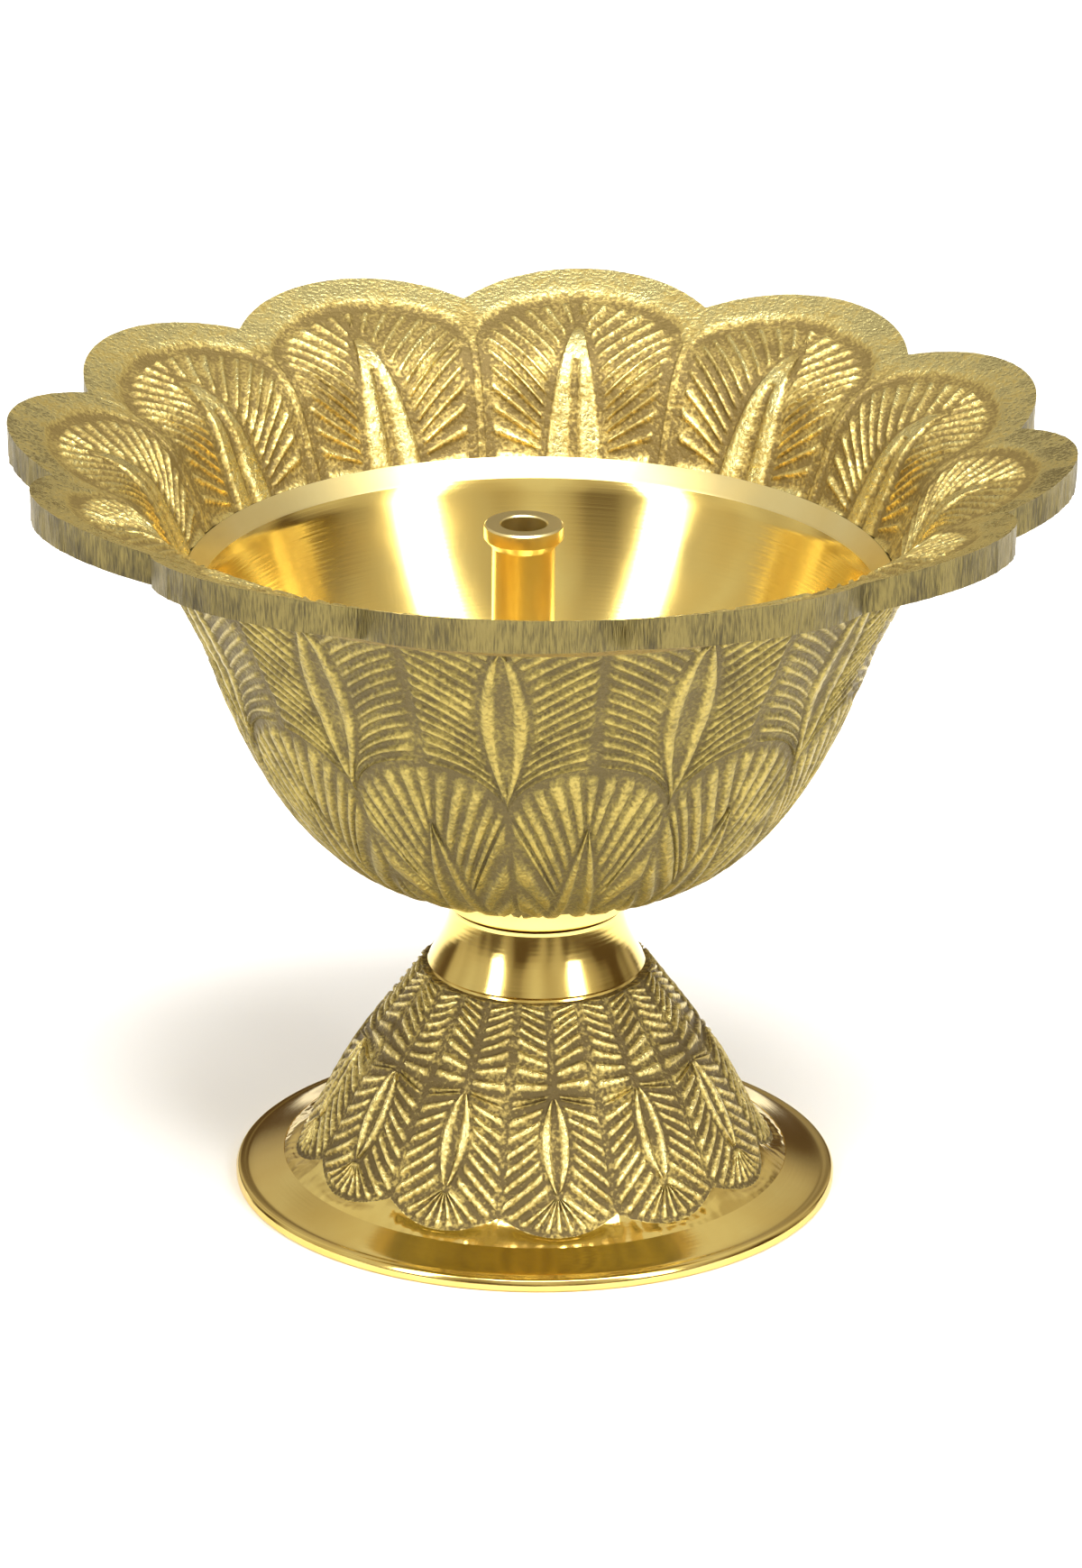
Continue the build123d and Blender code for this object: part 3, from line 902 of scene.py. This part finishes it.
bm = bmesh.new()
turn(bm, [(0, STUD_BOTTOM), (STUD_ROOT, STUD_BOTTOM)], 0, False, ROD_STEPS)
thread(bm, STUD_RADIUS, STUD_ROOT, STUD_PITCH, STUD_BOTTOM, FOOT_HEIGHT)
turn(bm, [
    (STUD_ROOT, FOOT_HEIGHT), (STUD_RADIUS - 0.02, FOOT_HEIGHT + 0.1),
    (STUD_RADIUS - 0.02, STUD_TOP), (0, STUD_TOP),
], 0, False, ROD_STEPS)
finish_piece("joining_stud_m6", bm, [satin_brass], "bowl", "joining_stud")


# ---- Leather washer under the wick stem ----------------------------------------------
# A smaller washer punched from the same leather and clamped under the stem's shoulder,
# so that oil doesn't creep down the thread.
SHOULDER = 33.7
finish_piece("stem_washer_leather", punched(3.3, TAIL_HOLE, BOSS_TOP, SHOULDER, STEM_X), [hide_and_joint_shade],
             "seal", "stem_washer")


# ---- Wick stem -----------------------------------------------------------------------
# A turned brass tube that holds the cotton wick. It has a collar with a conical
# underside, two slots near its foot that let the oil in, and an M3 tail to screw it in.
STEM_TOP = 59.2
STEM_RADIUS, BORE_RADIUS, COLLAR_RADIUS = 2.65, 1.95, 3.35
SLOT_BOTTOM, SLOT_TOP, SLOT_HALF = 35.3, 40.3, 1.2
TAIL_RADIUS, TAIL_ROOT, TAIL_PITCH, TAIL_END = 1.5, 1.2, 0.5, 30.2
bm = bmesh.new()
turn(bm, [
    (0, SLOT_BOTTOM), (BORE_RADIUS, SLOT_BOTTOM), (BORE_RADIUS, SLOT_TOP), (BORE_RADIUS, STEM_TOP - 0.12),
    (BORE_RADIUS + 0.1, STEM_TOP), (COLLAR_RADIUS - 0.15, STEM_TOP), (COLLAR_RADIUS, STEM_TOP - 0.15),
    (COLLAR_RADIUS, STEM_TOP - 1.2), (COLLAR_RADIUS - 0.08, STEM_TOP - 1.32),
    (STEM_RADIUS + 0.05, STEM_TOP - 1.95), (STEM_RADIUS, STEM_TOP - 2.05),
    (STEM_RADIUS, SLOT_TOP), (STEM_RADIUS, SLOT_BOTTOM), (STEM_RADIUS, SHOULDER + 0.15),
    (STEM_RADIUS - 0.15, SHOULDER), (TAIL_ROOT, SHOULDER),
], STEM_X, False, ROD_STEPS)
thread(bm, TAIL_RADIUS, TAIL_ROOT, TAIL_PITCH, TAIL_END, SHOULDER, STEM_X)
turn(bm, [(TAIL_ROOT, TAIL_END), (0, TAIL_END)], STEM_X, False, ROD_STEPS)
slot_faces = []
for face in bm.faces:
    middle = face.calc_center_median() / MM
    reach = hypot(middle.x - STEM_X, middle.y)
    half_steps = 5 if reach > 2.4 else 7        # the slot spans more of the bore's round than of the tube's
    across = reach * sin(2 * pi * half_steps / ROD_STEPS)
    if SLOT_BOTTOM < middle.z < SLOT_TOP and reach > 1.9 and abs(middle.y) < across:
        slot_faces.append(face)
bmesh.ops.delete(bm, geom=slot_faces, context="FACES")
for side in (-1, 1):
    sides = [
        edge for edge in bm.edges
        if edge.is_boundary and (edge.verts[0].co.x / MM - STEM_X) * side > 0
    ]
    for vert in {vert for edge in sides for vert in edge.verts if abs(vert.co.y / MM) > 1.1}:
        reach = hypot(vert.co.x / MM - STEM_X, vert.co.y / MM)
        vert.co.y = SLOT_HALF * MM if vert.co.y > 0 else -SLOT_HALF * MM
        vert.co.x = (STEM_X + side * (reach**2 - SLOT_HALF**2) ** 0.5) * MM
    bmesh.ops.bridge_loops(bm, edges=sides)
finish_piece("wick_stem_turned", bm, [satin_brass], "stem", "wick_stem")


# ---- Studio --------------------------------------------------------------------------
# The lamp stands on white paper in a pale, warm room. One softbox hangs over it and two
# stand beside the camera, and the room's uneven walls give the polished brass something
# to reflect.
FLOOR_HALF = 3.0                 # in metres, as are the distances and sizes of the lights
bm = bmesh.new()
bmesh.ops.create_grid(bm, x_segments=1, y_segments=1, size=FLOOR_HALF)
mesh = bpy.data.meshes.new("floor")
bm.to_mesh(mesh)
bm.free()
floor_piece = bpy.data.objects.new("floor", mesh)
bpy.context.scene.collection.objects.link(floor_piece)
# Matt white paper: even and without a gleam.
paper = bpy.data.materials.new("matt_white_paper")
paper.use_nodes = True
shader = paper.node_tree.nodes["Principled BSDF"]
shader.inputs["Base Color"].default_value = colour("#FBFAF8")
shader.inputs["Roughness"].default_value = 0.9
mesh.materials.append(paper)

world = bpy.data.worlds.new("studio")
bpy.context.scene.world = world
world.use_nodes = True
tree = world.node_tree
facing = add(tree, "ShaderNodeTexCoord").outputs["Generated"]
upright = add(tree, "ShaderNodeVectorMath", {0: facing, 1: (1, 1, 0.15)}, operation="MULTIPLY")
screens = add(tree, "ShaderNodeTexNoise", {"Vector": upright.outputs[0], "Scale": 2.4, "Detail": 1.0})
direction = add(tree, "ShaderNodeSeparateXYZ", {0: facing})
uneven = add(tree, "ShaderNodeMapRange", {
    "Value": screens.outputs["Fac"], "From Min": 0.35, "From Max": 0.65, "To Min": -0.35, "To Max": 0.25,
})
height = add(tree, "ShaderNodeMath", {
    0: direction.outputs["Z"], 1: uneven.outputs["Result"],
}, operation="ADD")
room = add(tree, "ShaderNodeValToRGB", {"Fac": height.outputs[0]})
room.color_ramp.elements[0].position = 0.0
room.color_ramp.elements[0].color = colour("#5E4C38")
room.color_ramp.elements[1].position = 0.75
room.color_ramp.elements[1].color = colour("#EDEAE4")
room.color_ramp.elements.new(0.3).color = colour("#C9C0B2")
tree.links.new(room.outputs["Color"], tree.nodes["Background"].inputs["Color"])
tree.nodes["Background"].inputs["Strength"].default_value = 0.9


def softbox(name, turn_degrees, rise_degrees, away, size, power):
    """A soft light that faces the lamp; nought degrees is the camera's side."""
    light = bpy.data.lights.new(name, "AREA")
    light.shape = "RECTANGLE"
    light.size, light.size_y = size
    light.energy = power
    lamp = bpy.data.objects.new(name, light)
    around, rise = radians(turn_degrees), radians(rise_degrees)
    lamp.location = Vector((sin(around) * cos(rise), -cos(around) * cos(rise), sin(rise))) * away
    lamp.rotation_euler = (-lamp.location).to_track_quat("-Z", "Y").to_euler()
    bpy.context.scene.collection.objects.link(lamp)


softbox("overhead_softbox", 20, 76, 0.8, (0.5, 0.4), 9)
softbox("right_softbox", 52, 40, 0.7, (0.18, 0.5), 3.2)
softbox("left_softbox", -42, 36, 0.7, (0.16, 0.5), 2.6)

CAMERA_TURN = radians(5.4)
CAMERA_RISE = radians(21.24)
CAMERA_ROLL = 0.008
CAMERA_AWAY = 0.82556
target = Vector((0, 0, 0.035))
camera_data = bpy.data.cameras.new("camera")
camera_data.lens = 223.3
camera_data.sensor_width = 36
camera_data.clip_end = 20
camera_data.shift_x = 0.0021
camera_data.shift_y = 0.0054
camera = bpy.data.objects.new("camera", camera_data)
back = Vector((
    sin(CAMERA_TURN) * cos(CAMERA_RISE), -cos(CAMERA_TURN) * cos(CAMERA_RISE), sin(CAMERA_RISE)
))
camera.location = target + back * CAMERA_AWAY
aim = back.to_track_quat("Z", "Y").to_matrix() @ Matrix.Rotation(CAMERA_ROLL, 3, "Z")
camera.rotation_euler = aim.to_euler()
bpy.context.scene.collection.objects.link(camera)
bpy.context.scene.camera = camera
bpy.context.scene.view_settings.view_transform = "Standard"
